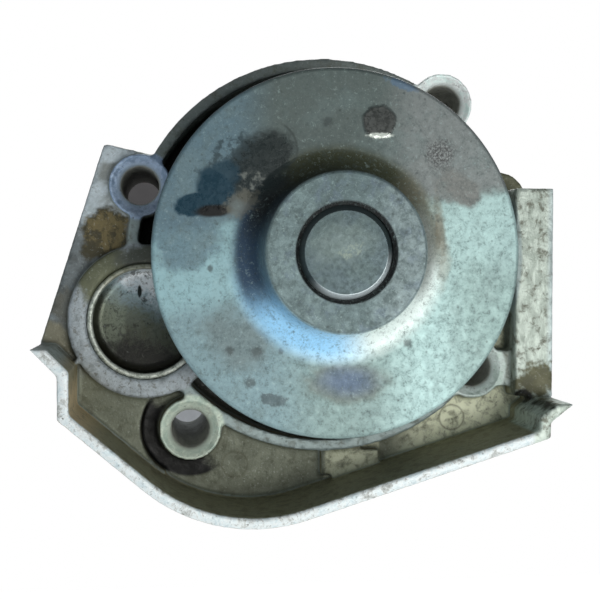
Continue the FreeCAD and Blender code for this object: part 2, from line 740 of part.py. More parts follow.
def vane(name, start, low, high):
    """One backward-swept vane, bounded by two concentric arcs."""
    sketch = place(doc.addObject("Sketcher::SketchObject", f"{name}Outline"), height=low)
    root, tip = "vaneRootRadius", "(impellerRadius - vaneTipInset)"
    stations = (
        (root, "0", "0"),
        (f"(({root} + {tip}) / 2)", "vaneSweep * vaneMiddleShare", "vaneTaper / 2"),
        (tip, "vaneSweep", "vaneTaper"),
    )
    ends = {}
    thickness = "180 / pi * vaneThickness / vaneRootRadius"
    for side, turn, taper in (("Front", "0", "0"), ("Back", thickness, "1")):
        points = []
        for radius, sweep, narrowing in stations:
            angle = f"({start} + {turn} + {sweep} - {taper} * {narrowing})"
            points.append((f"{radius} * cos({angle})", f"{radius} * sin({angle})"))
        at = [Vector(valueOf(x), valueOf(y)) for x, y in points]
        arc = sketch.addGeometry(Part.Arc(at[0], at[1], at[2]))
        ends[side] = (arc, points, at)
    for side, (arc, points, at) in ends.items():
        middle = sketch.addGeometry(Part.Point(at[1]), True)
        pin(sketch, middle, 1, *points[1])
        sketch.addConstraint(Sketcher.Constraint("PointOnObject", middle, 1, arc))
        geometry = sketch.Geometry[arc]
        startsAtRoot = (geometry.StartPoint - at[0]).Length < (geometry.EndPoint - at[0]).Length
        rootEnd, tipEnd = (1, 2) if startsAtRoot else (2, 1)
        pin(sketch, arc, rootEnd, *points[0])
        pin(sketch, arc, tipEnd, *points[2])
        ends[side] = (arc, rootEnd, tipEnd, at)
    for which, corner in ((1, 0), (2, 2)):
        frontEnd, backEnd = ends["Front"][which], ends["Back"][which]
        line = sketch.addGeometry(Part.LineSegment(ends["Front"][3][corner], ends["Back"][3][corner]))
        sketch.addConstraint(Sketcher.Constraint("Coincident", line, 1, ends["Front"][0], frontEnd))
        sketch.addConstraint(Sketcher.Constraint("Coincident", line, 2, ends["Back"][0], backEnd))
    return raised(name, sketch, low, high)


pumpShaft()
drivePulley()
rollingBearing()
shaftSeal()
impeller()


# ---- checks and export

doc.recompute()
for item in doc.Objects:
    if "Invalid" in item.State or "Error" in item.State:
        raise RuntimeError(f"{item.Label} failed: {item.State}")
os.makedirs("parts", exist_ok=True)
for node, item in pieces.items():
    if item.Shape.isNull() or not item.Shape.isValid() or not item.Shape.Solids:
        raise RuntimeError(f"{node} has no valid solid")
    item.Shape.exportStep(f"parts/{node}.step")
    box = item.Shape.BoundBox
    spans = [f"{low:.1f}..{high:.1f}" for low, high in (
        (box.XMin, box.XMax), (box.YMin, box.YMax), (box.ZMin, box.ZMax))]
    print(f"{node}: {len(item.Shape.Solids)} solid(s), {item.Shape.Volume / 1000:.2f} cm3,", *spans)
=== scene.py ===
import math
import bmesh
import bpy
from mathutils import Matrix, Vector


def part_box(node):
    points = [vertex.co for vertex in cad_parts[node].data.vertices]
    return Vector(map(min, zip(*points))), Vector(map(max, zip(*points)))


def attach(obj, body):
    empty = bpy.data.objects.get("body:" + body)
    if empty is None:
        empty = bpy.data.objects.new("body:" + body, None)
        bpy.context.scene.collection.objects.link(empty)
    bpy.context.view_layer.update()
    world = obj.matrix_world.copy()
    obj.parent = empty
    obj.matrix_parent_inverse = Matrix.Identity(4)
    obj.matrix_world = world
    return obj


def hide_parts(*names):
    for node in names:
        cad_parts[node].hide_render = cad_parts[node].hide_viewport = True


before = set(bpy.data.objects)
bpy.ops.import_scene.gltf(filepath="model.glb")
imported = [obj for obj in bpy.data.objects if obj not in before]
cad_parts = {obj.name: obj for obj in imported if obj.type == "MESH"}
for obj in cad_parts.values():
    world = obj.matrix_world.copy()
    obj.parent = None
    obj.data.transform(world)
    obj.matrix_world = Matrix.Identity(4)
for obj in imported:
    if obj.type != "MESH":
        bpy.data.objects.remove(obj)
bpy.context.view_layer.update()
scene = bpy.context.scene
mm = 0.001
samePlace = 0.000001  # metres
onAxis = 0.000001  # millimetres
triangleLimit = 190000
fineTurn = 256
sealTurn = 128
plainEase = 0.15
print("stage: frame loaded", len(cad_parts), "nodes")


# Sockets and nodes

def feed(tree, value, socket):
    if isinstance(value, Channel):
        tree.links.new(value.out, socket)
    else:
        socket.default_value = value


class Channel:
    # One output in a node tree. Arithmetic on it adds maths nodes.
    def __init__(self, tree, out):
        self.tree = tree
        self.out = out

    def maths(self, operation, *values):
        item = self.tree.nodes.new("ShaderNodeMath")
        item.operation = operation
        for value, socket in zip(values, item.inputs):
            feed(self.tree, value, socket)
        return Channel(self.tree, item.outputs[0])

    def __add__(self, other):
        return self.maths("ADD", self, other)

    def __radd__(self, other):
        return self.maths("ADD", other, self)

    def __sub__(self, other):
        return self.maths("SUBTRACT", self, other)

    def __rsub__(self, other):
        return self.maths("SUBTRACT", other, self)

    def __mul__(self, other):
        return self.maths("MULTIPLY", self, other)

    def __rmul__(self, other):
        return self.maths("MULTIPLY", other, self)

    def __truediv__(self, other):
        return self.maths("DIVIDE", self, other)

    def __rtruediv__(self, other):
        return self.maths("DIVIDE", other, self)

    def __pow__(self, other):
        return self.maths("POWER", self, other)

    def __neg__(self):
        return self.maths("MULTIPLY", self, -1.0)

    def most(self, other):
        return self.maths("MAXIMUM", self, other)

    def ramp(self, low, high, lowValue=0.0, highValue=1.0):
        return make(self.tree, "ShaderNodeMapRange", {"interpolation_type": "SMOOTHSTEP"}, 0,
                    Value=self, From_Min=low, From_Max=high, To_Min=lowValue, To_Max=highValue)


def make(tree, kind, settings, output=0, **inputs):
    item = tree.nodes.new(kind)
    for name, value in settings.items():
        setattr(item, name, value)
    for name, value in inputs.items():
        # at0, at1 and so on give an input by its number
        numbered = name.startswith("at") and name[2:].isdigit()
        key = int(name[2:]) if numbered else name.replace("_", " ")
        feed(tree, value, item.inputs[key])
    return Channel(tree, item.outputs[output])


def tone(red, green, blue):
    def linear(value):
        value /= 255
        return value / 12.92 if value < 0.04045 else ((value + 0.055) / 1.055) ** 2.4
    return (linear(red), linear(green), linear(blue), 1.0)


class Finish:
    # A material being made: masks in millimetres, layers of colour, then the shader's inputs.
    def __init__(self, name):
        self.material = bpy.data.materials.new(name)
        self.material.use_nodes = True
        self.tree = self.material.node_tree
        self.shader = self.tree.nodes["Principled BSDF"]
        place = make(self.tree, "ShaderNodeTexCoord", {}, 3)
        self.place = make(self.tree, "ShaderNodeVectorMath", {"operation": "SCALE"}, 0,
                          at0=place, Scale=1 / mm)
        self.x, self.y, self.z = (self.along(axis) for axis in range(3))
        self.height = -self.y
        self.radius = (self.x * self.x + self.z * self.z) ** 0.5
        self.colour = None

    def along(self, axis):
        return make(self.tree, "ShaderNodeSeparateXYZ", {}, axis, Vector=self.place)

    def moved(self, place, operation, by):
        return make(self.tree, "ShaderNodeVectorMath", {"operation": operation}, 0,
                    at0=place, at1=by)

    def noise(self, size, detail=4.0, rough=0.6, warp=0.0, shift=0.0, stretch=None):
        # size is the width of one patch in millimetres
        place = self.place
        if shift:
            place = self.moved(place, "ADD", (shift, shift * 1.7, -shift))
        if stretch:
            place = self.moved(place, "MULTIPLY", stretch)
        return make(self.tree, "ShaderNodeTexNoise", {"noise_dimensions": "3D"}, 0, Vector=place,
                    Scale=1.0 / size, Detail=detail, Roughness=rough, Distortion=warp)

    def specks(self, size, cover, soft=0.06, shift=0.0):
        # small round spots; cover is the spot's radius as a share of the cell
        place = self.moved(self.place, "ADD", (shift, -shift, shift * 0.6))
        cell = make(self.tree, "ShaderNodeTexVoronoi", {"feature": "F1"}, 0,
                    Vector=place, Scale=1.0 / size, Randomness=1.0)
        return cell.ramp(cover + soft, cover)

    def facing(self, direction):
        # how far the surface turns towards a direction, from -1 to 1
        normal = make(self.tree, "ShaderNodeNewGeometry", {}, 1)
        spaces = {"vector_type": "NORMAL", "convert_from": "WORLD", "convert_to": "OBJECT"}
        local = make(self.tree, "ShaderNodeVectorTransform", spaces, 0, Vector=normal)
        return make(self.tree, "ShaderNodeVectorMath", {"operation": "DOT_PRODUCT"}, 1,
                    at0=local, at1=direction)

    def spot(self, x, z, width, height=None, turn=0.0, soft=0.25, wobble=0.35, grain=3.0):
        # an irregular patch in the front view
        height = height or width
        cosine, sine = math.cos(math.radians(turn)), math.sin(math.radians(turn))
        across, up = self.x - x, self.z - z
        alongWidth = (across * cosine + up * sine) / width
        alongHeight = (up * cosine - across * sine) / height
        away = (alongWidth * alongWidth + alongHeight * alongHeight) ** 0.5
        if wobble:
            ripple = self.noise(grain, 3.0, 0.6, 0.0, abs(x) + 3 * abs(z)) - 0.5
            away = away + ripple * (wobble * 2)
        return away.ramp(1 + soft, 1 - soft)

    def sector(self, centre, spread, soft=20.0):
        # a wedge round the shaft axis, in degrees, 0 to the right and 90 up
        cosine, sine = math.cos(math.radians(centre)), math.sin(math.radians(centre))
        share = (self.x * cosine + self.z * sine) / self.radius.most(0.01)
        return share.ramp(math.cos(math.radians(min(spread + soft, 180))),
                          math.cos(math.radians(max(spread - soft, 0))))

    def band(self, channel, low, high, soft):
        return channel.ramp(low - soft, low + soft) * channel.ramp(high + soft, high - soft)

    def creases(self, distance):
        # high where other faces are near
        return 1 - make(self.tree, "ShaderNodeAmbientOcclusion", {"samples": 6}, 1,
                        Distance=distance * mm)

    def between(self, mask, first, second):
        return make(self.tree, "ShaderNodeMix", {"data_type": "RGBA"}, 2,
                    at0=mask, at6=first, at7=second)

    def layer(self, mask, colour):
        # the first layer has no mask
        self.colour = colour if self.colour is None else self.between(mask, self.colour, colour)

    def done(self, roughness, metallic, relief, depth):
        # depth is the relief's height in millimetres
        feed(self.tree, self.colour, self.shader.inputs["Base Color"])
        feed(self.tree, roughness, self.shader.inputs["Roughness"])
        feed(self.tree, metallic, self.shader.inputs["Metallic"])
        bump = make(self.tree, "ShaderNodeBump", {}, 0,
                    Strength=1.0, Distance=depth * mm, Height=relief)
        feed(self.tree, bump, self.shader.inputs["Normal"])
        return self.material


def plainFinish(name, first, second, roughness, metallic, size=2.5, depth=0.02):
    finish = Finish(name)
    patches = finish.noise(size, 5.0, 0.65)
    finish.layer(None, first)
    finish.layer(patches.ramp(0.35, 0.7), second)
    finish.layer(finish.specks(0.9, 0.12, shift=size) * 0.5, tone(60, 58, 54))
    return finish.done(patches.ramp(0.2, 0.8, roughness - 0.08, roughness + 0.1), metallic,
                       finish.noise(size * 0.3, 4.0, 0.7), depth)


# Shapes

def reach(node):
    # a turned node's axis, its two heights and its outer radius, in millimetres
    low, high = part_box(node)
    return {
        "x": (low.x + high.x) / 2 / mm,
        "z": (low.z + high.z) / 2 / mm,
        "back": -high.y / mm,
        "front": -low.y / mm,
        "radius": (high.x - low.x) / 2 / mm,
    }


def rounded(corners, steps=6, edge=0.12, support=0.05):
    # an outline of (radius, height, rounding), each corner eased and held by a point on each side
    longestSetback, longestSupport = 0.45, 0.05
    points = []
    total = len(corners)
    for i, corner in enumerate(corners):
        at = Vector(corner[:2])
        before = Vector(corners[i - 1][:2]) - at
        after = Vector(corners[(i + 1) % total][:2]) - at
        size = corner[2] if len(corner) == 3 else edge
        if at.x < onAxis:
            points.append(at)
            continue
        half = before.angle(after) / 2
        setback = min(size / math.tan(half), before.length * longestSetback,
                      after.length * longestSetback)
        size = setback * math.tan(half)
        start = at + before.normalized() * setback
        end = at + after.normalized() * setback
        halfway = (before.normalized() + after.normalized()).normalized()
        middle = at + halfway * (size / math.sin(half))
        points.append(start + before.normalized() * min(support, before.length * longestSupport))
        first, last = start - middle, end - middle
        sweep = first.angle_signed(last)
        for step in range(steps + 1):
            turned = Matrix.Rotation(-sweep * step / steps, 2) @ first
            points.append(middle + turned)
        points.append(end + after.normalized() * min(support, after.length * longestSupport))
    return points


def geometryTree(name, inputs):
    tree = bpy.data.node_groups.new(name, "GeometryNodeTree")
    tree.interface.new_socket(name="Geometry", in_out="OUTPUT", socket_type="NodeSocketGeometry")
    for label, kind in inputs.items():
        tree.interface.new_socket(name=label, in_out="INPUT", socket_type=f"NodeSocket{kind}")
    entry = tree.nodes.new("NodeGroupInput")
    return tree, {label: Channel(tree, entry.outputs[label]) for label in inputs}


def closeTree(tree, shape, material):
    real = make(tree, "GeometryNodeRealizeInstances", {}, 0, Geometry=shape)
    painted = make(tree, "GeometryNodeSetMaterial", {}, 0, Geometry=real, Material=material)
    leave = tree.nodes.new("NodeGroupOutput")
    tree.links.new(painted.out, leave.inputs["Geometry"])
    return tree


def latheTree():
    # turns a profile of (radius, height) vertices about the Y axis
    inputs = {"Geometry": "Geometry", "Steps": "Int", "Material": "Material"}
    tree, given = geometryTree("lathe", inputs)
    count = make(tree, "GeometryNodeAttributeDomainSize", {"component": "MESH"}, 0,
                 Geometry=given["Geometry"])
    columns = given["Steps"] + 1
    grid = make(tree, "GeometryNodeMeshGrid", {}, 0, Vertices_X=count, Vertices_Y=columns)
    index = make(tree, "GeometryNodeInputIndex", {})
    nudged = index / columns + 0.0001
    row = nudged.maths("FLOOR", nudged)
    column = index - row * columns
    position = make(tree, "GeometryNodeInputPosition", {})
    vectors = {"data_type": "FLOAT_VECTOR", "domain": "POINT"}
    corner = make(tree, "GeometryNodeSampleIndex", vectors, 0,
                  Geometry=given["Geometry"], Value=position, Index=row)
    radius = make(tree, "ShaderNodeSeparateXYZ", {}, 0, Vector=corner)
    height = make(tree, "ShaderNodeSeparateXYZ", {}, 1, Vector=corner)
    angle = column * (2 * math.pi) / given["Steps"]
    cosine, sine = angle.maths("COSINE", angle), angle.maths("SINE", angle)
    at = make(tree, "ShaderNodeCombineXYZ", {}, 0, X=radius * cosine, Y=height, Z=radius * sine)
    placed = make(tree, "GeometryNodeSetPosition", {}, 0, Geometry=grid, Position=at)
    merged = make(tree, "GeometryNodeMergeByDistance", {}, 0, Geometry=placed, Distance=samePlace)
    smooth = make(tree, "GeometryNodeSetShadeSmooth", {}, 0, Geometry=merged, Shade_Smooth=True)
    return closeTree(tree, smooth, given["Material"])


def aroundTree():
    # copies of the given shape at even steps round the Y axis
    inputs = {"Geometry": "Geometry", "Count": "Int", "Material": "Material"}
    tree, given = geometryTree("around", inputs)
    point = make(tree, "GeometryNodePoints", {}, 0, Count=given["Count"])
    index = make(tree, "GeometryNodeInputIndex", {})
    turn = make(tree, "ShaderNodeCombineXYZ", {}, 0, Y=index * (2 * math.pi) / given["Count"])
    copies = make(tree, "GeometryNodeInstanceOnPoints", {}, 0, Points=point,
                  Instance=given["Geometry"], Rotation=turn)
    return closeTree(tree, copies, given["Material"])


def springTree():
    # a coil of round wire that rises along -Y
    tree, given = geometryTree("spring", {
        "Geometry": "Geometry", "Turns": "Float", "Coil Radius": "Float", "Rise": "Float",
        "Wire Radius": "Float", "Material": "Material",
    })
    coil = make(tree, "GeometryNodeCurveSpiral", {}, 0, Resolution=48, Rotations=given["Turns"],
                Start_Radius=given["Coil Radius"], End_Radius=given["Coil Radius"],
                Height=given["Rise"])
    wire = make(tree, "GeometryNodeCurvePrimitiveCircle", {"mode": "RADIUS"}, 0, Resolution=16,
                Radius=given["Wire Radius"])
    swept = make(tree, "GeometryNodeCurveToMesh", {}, 0, Curve=coil, Profile_Curve=wire,
                 Fill_Caps=True)
    upright = make(tree, "GeometryNodeTransform", {}, 0, Geometry=swept,
                   Rotation=(math.pi / 2, 0.0, 0.0))
    smooth = make(tree, "GeometryNodeSetShadeSmooth", {}, 0, Geometry=upright, Shade_Smooth=True)
    return closeTree(tree, smooth, given["Material"])


trees = {"lathe": latheTree(), "around": aroundTree(), "spring": springTree()}


def bare(name, vertices=(), edges=(), faces=()):
    mesh = bpy.data.meshes.new(name)
    mesh.from_pydata([tuple(v) for v in vertices], list(edges), list(faces))
    item = bpy.data.objects.new(name, mesh)
    scene.collection.objects.link(item)
    return item


def grown(source, treeName, name, **values):
    # runs one geometry tree on an object and leaves a plain mesh
    modifier = source.modifiers.new("shape", "NODES")
    modifier.node_group = trees[treeName]
    keys = {item.name: item.identifier for item in trees[treeName].interface.items_tree
            if item.in_out == "INPUT"}
    for label, value in values.items():
        modifier[keys[label.replace("_", " ")]] = value
    return plain(source, name)


def plain(source, name):
    graph = bpy.context.evaluated_depsgraph_get()
    mesh = bpy.data.meshes.new_from_object(source.evaluated_get(graph))
    mesh.name = name
    bpy.data.objects.remove(source)
    item = bpy.data.objects.new(name, mesh)
    scene.collection.objects.link(item)
    return item


def outward(item, weld=0.0):
    work = bmesh.new()
    work.from_mesh(item.data)
    if weld:
        bmesh.ops.remove_doubles(work, verts=work.verts, dist=weld)
    bmesh.ops.recalc_face_normals(work, faces=work.faces)
    work.to_mesh(item.data)
    work.free()
    item.data.update()
    return item


def settle(item, body, slotName, *nodes):
    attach(item, body)
    if nodes:
        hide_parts(*nodes)
    print("piece:", item.name, len(item.data.polygons), "faces")


def turned(name, corners, material, x=0.0, z=0.0, steps=fineTurn):
    # corners are (radius, height above the mounting face, rounding) in millimetres
    points = [(p.x * mm, -p.y * mm, 0.0) for p in rounded(corners)]
    if corners[0][0] > onAxis:
        points.append(points[0])
    profile = bare(name + "Profile", points, [(i, i + 1) for i in range(len(points) - 1)])
    item = grown(profile, "lathe", name, Steps=steps, Material=material)
    item.data.transform(Matrix.Translation((x * mm, 0, z * mm)))
    return outward(item)


def copyOf(node, name):
    item = bpy.data.objects.new(name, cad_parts[node].data.copy())
    scene.collection.objects.link(item)
    item.data.materials.clear()
    return outward(item, 2 * samePlace)


skinTexture = {"size": 1.6, "octaves": 3}


def remeshed(node, name, shape, material):
    # a copy of the CAD node with eased edges and, where its skin has a depth, an uneven skin
    item = copyOf(node, name)
    remesh = item.modifiers.new("voxels", "REMESH")
    remesh.mode = "VOXEL"
    remesh.voxel_size = shape["voxel"] * mm
    remesh.use_smooth_shade = True
    ease = item.modifiers.new("ease", "SMOOTH")
    ease.factor = 0.5
    ease.iterations = shape["smoothing"]
    if shape["skin"]:
        texture = bpy.data.textures.new(name + "Skin", "CLOUDS")
        texture.noise_scale = skinTexture["size"] * mm
        texture.noise_depth = skinTexture["octaves"]
        uneven = item.modifiers.new("uneven", "DISPLACE")
        uneven.texture = texture
        uneven.texture_coords = "LOCAL"
        uneven.strength = shape["skin"] * mm
        uneven.mid_level = 1.0
    item = plain(item, name)
    faces = sum(len(p.vertices) - 2 for p in item.data.polygons)
    if faces > triangleLimit:
        fewer = item.modifiers.new("fewer", "DECIMATE")
        fewer.ratio = triangleLimit / faces
        item = plain(item, name)
    item.data.shade_smooth()
    item.data.materials.clear()
    item.data.materials.append(material)
    return outward(item)


print("stage: tools ready")


# Finishes
# Places are (x, z) in millimetres from the shaft axis, and heights run from the mounting face.

boltHoles = {
    "upperLeft": (-34.8, 13.0),
    "upperRight": (22.8, 29.2),
    "lowerLeft": (-25.4, -32.9),
    "lowerRight": (29.2, -21.7),
}
bossTones = {
    "upperLeft": (tone(132, 154, 180), tone(180, 202, 228)),
    "upperRight": (tone(228, 250, 246), tone(248, 255, 254)),
    "lowerLeft": (tone(178, 196, 182), tone(216, 228, 212)),
    "lowerRight": (tone(180, 198, 190), tone(216, 230, 226)),
}
plug = reach("core_plug")


def castAluminiumFinish():
    f = Finish("castAluminium")
    broad = f.noise(11.0, 4.0, 0.6, 0.3)
    fine = f.noise(2.0, 5.0, 0.7, 0.4, 7.0)
    grit = f.noise(0.5, 3.0, 0.75, 0.0, 3.0)
    front = f.facing((0, -1, 0))
    f.layer(None, tone(150, 158, 152))
    f.layer(broad.ramp(0.4, 0.62), tone(172, 184, 180))
    f.layer(fine.ramp(0.5, 0.72) * 0.6, tone(116, 118, 102))
    f.layer(f.height.ramp(31.0, 29.0) * 0.6, tone(128, 130, 112))
    f.layer(f.height.ramp(26.0, 24.5) * f.x.ramp(32.0, 35.0) * f.z.ramp(8.0, 12.0),
            tone(112, 114, 92))
    floor = f.band(f.height, 34.0, 38.2, 0.4) * front.ramp(0.5, 0.9)
    f.layer(floor, f.between(broad, tone(102, 107, 93), tone(118, 123, 106)))
    # painted light: the floor is painted lighter over the bridge and lighter still to the right
    f.layer(floor * f.band(f.x, 0.6, 11.4, 0.3),
            f.between(broad, tone(168, 172, 148), tone(188, 192, 168)))
    f.layer(floor * f.x.ramp(12.0, 22.0),
            f.between(broad, tone(206, 210, 182), tone(226, 231, 204)))
    f.layer(floor * fine.ramp(0.45, 0.7) * 0.6, tone(100, 102, 84))
    # the plate on the left, with its brown patch and worn ear
    plate = floor * f.x.ramp(-30.5, -33.0) * f.z.ramp(-24.0, -19.0)
    f.layer(plate, f.between(fine.ramp(0.35, 0.65), tone(86, 92, 92), tone(122, 131, 134)))
    f.layer(plate * f.z.ramp(2.0, 8.0),
            f.between(fine.ramp(0.35, 0.65), tone(170, 182, 186), tone(206, 218, 224)))
    f.layer(plate * broad.ramp(0.5, 0.62) * 0.6, tone(98, 96, 82))
    f.layer(plate * f.spot(-41.0, 4.0, 5.2, 4.6, 60.0, wobble=0.8), tone(62, 58, 38))
    patch = plate * f.spot(-40.6, 4.4, 4.4, 3.6, wobble=0.9, grain=1.4)
    f.layer(patch * fine.ramp(0.4, 0.58) * 0.8, tone(128, 114, 74))
    f.layer(plate * f.spot(-50.5, -15.4, 4.5, 2.4, -30.0, wobble=0.6), tone(124, 122, 104))
    f.layer(plate * f.spot(-46.5, -20.0, 4.0, 2.6, wobble=0.7) * 0.8, tone(92, 90, 72))
    # the skirt's rim and its two sides
    rim = f.height.ramp(54.2, 54.8) * front.ramp(0.4, 0.8)
    f.layer(rim, f.between(fine.ramp(0.3, 0.6), tone(196, 212, 216), tone(238, 244, 244)))
    f.layer(rim * grit.ramp(0.58, 0.7) * 0.6, tone(120, 128, 124))
    inside = f.band(f.height, 35.6, 54.6, 0.3) * f.z.ramp(-18.0, -22.0) * front.ramp(0.6, 0.3)
    f.layer(inside, f.between(fine.ramp(0.35, 0.65), tone(122, 118, 90), tone(180, 178, 150)))
    # painted light: the left part of the inner wall is lighter tan
    f.layer(inside * f.x.ramp(-40.0, -46.0) * f.z.ramp(-40.0, -32.0), tone(216, 196, 158))
    f.layer(inside * f.z.ramp(-26.0, -20.0), tone(134, 130, 98))
    # raised band on the right
    right = f.x.ramp(36.0, 37.0) * f.height.ramp(38.0, 40.0)
    streak = f.noise(1.3, 4.0, 0.7, 0.5, 5.0, (1.0, 1.0, 0.35))
    f.layer(right, f.between(streak.ramp(0.35, 0.65), tone(166, 178, 168), tone(206, 218, 208)))
    f.layer(right * fine.ramp(0.52, 0.68) * 0.7, tone(120, 122, 108))
    f.layer(right * f.x.ramp(42.6, 44.2) * 0.6, tone(202, 220, 226))
    f.layer(right * f.spot(40.8, -24.0, 4.5, 3.0, 20.0, wobble=0.9, grain=1.6), tone(92, 92, 68))
    f.layer(right * f.spot(38.6, -27.0, 2.0, 1.2, wobble=0.7), tone(26, 26, 20))
    # machined bosses
    boss = f.height.ramp(38.3, 39.0)
    f.layer(boss * f.band(f.radius, 34.8, 38.0, 0.3),
            f.between(fine, tone(136, 150, 148), tone(170, 186, 186)))
    f.layer(boss * f.band(f.radius, 34.8, 38.0, 0.3) * f.z.ramp(4.0, 16.0) * 0.8,
            tone(116, 124, 120))
    f.layer(boss * fine.ramp(0.5, 0.66) * 0.4, tone(112, 112, 96))
    paintedLitBores = None
    for hole, (x, z) in boltHoles.items():
        first, second = bossTones[hole]
        f.layer(boss * f.spot(x, z, 6.5, wobble=0.0, soft=0.06),
                f.between(fine.ramp(0.4, 0.6), first, second))
        edge = f.spot(x, z, 4.3, wobble=0.0, soft=0.1) * f.height.ramp(37.8, 38.6)
        f.layer(edge * 0.6, second)
        # painted light inside each bore, which is also kept out of the crease darkening below
        bore = f.spot(x, z, 3.9, wobble=0.0, soft=0.06) * f.height.ramp(38.6, 38.0)
        f.layer(bore, tone(186, 188, 180))
        paintedLitBores = bore if paintedLitBores is None else paintedLitBores.most(bore)
    f.layer(boss * f.spot(-33.4, 8.6, 4.0, 1.6, wobble=0.6) * 0.35, tone(76, 84, 96))
    plugBoss = boss * f.spot(plug["x"], plug["z"], 14.8, wobble=0.0, soft=0.04)
    f.layer(plugBoss, f.between(fine.ramp(0.35, 0.6), tone(134, 142, 144), tone(176, 186, 192)))
    f.layer(plugBoss * f.noise(1.1, 4.0, 0.7, 0.3, 11.0).ramp(0.52, 0.64) * 0.7, tone(104, 104, 96))
    f.layer(plugBoss * f.spot(-42.0, -3.0, 5.0, 7.0, 40.0, wobble=0.6), tone(98, 102, 80))
    f.layer(plugBoss * f.spot(-33.0, -0.5, 6.0, 2.6, wobble=0.5), tone(84, 88, 80))
    # painted shade in the hollow round the lower left boss, darkest on its lower left side
    bossX, bossZ = boltHoles["lowerLeft"]
    across, up = f.x - bossX, f.z - bossZ
    fromBoss = (across * across + up * up) ** 0.5
    side = (across * -0.75 + up * -0.66) / fromBoss.most(0.01)
    hollowShade = f.band(fromBoss, 6.2, 9.5, 0.35) * f.height.ramp(38.8, 37.8)
    # plain ring marks in the casting
    for x, z in ((-16.8, -40.3), (25.9, -31.7)):
        away = f.spot(x, z, 2.6, wobble=0.0, soft=0.08) - f.spot(x, z, 2.3, wobble=0.0, soft=0.08)
        f.layer(floor * away.most(0.0) * 0.6, tone(92, 92, 74))
    # dark brown in creases: grime and painted shade
    creaseGrimeAndShade = f.creases(5.0)
    f.layer((creaseGrimeAndShade.ramp(0.4, 0.9) + (fine - 0.5) * 0.5).ramp(0.35, 1.0) * (1 - paintedLitBores) * 0.6,
            tone(40, 38, 27))
    # painted shade: near black in the deep well behind the pulley
    f.layer(f.height.ramp(31.0, 26.0) * f.radius.ramp(36.0, 35.0) * f.height.ramp(22.0, 24.0),
            tone(26, 26, 22))
    f.layer(f.specks(1.5, 0.05, 0.16) * grit.ramp(0.48, 0.62) * 0.6, tone(58, 58, 48))
    f.layer(fine.ramp(0.46, 0.72) * grit.ramp(0.4, 0.62) * 0.5, tone(84, 86, 74))
    f.layer(grit.ramp(0.42, 0.3) * 0.2, tone(206, 214, 210))
    # painted shade: near black in the hollow round the lower left boss
    f.layer(hollowShade * (side + (fine - 0.5) * 0.5).ramp(0.0, 0.35), tone(1, 2, 1))
    skin = f.noise(0.7, 4.0, 0.75) - f.specks(1.5, 0.05, 0.16) * 0.3
    return f.done(fine.ramp(0.3, 0.7, 0.42, 0.62), 0.35, skin, 0.09)


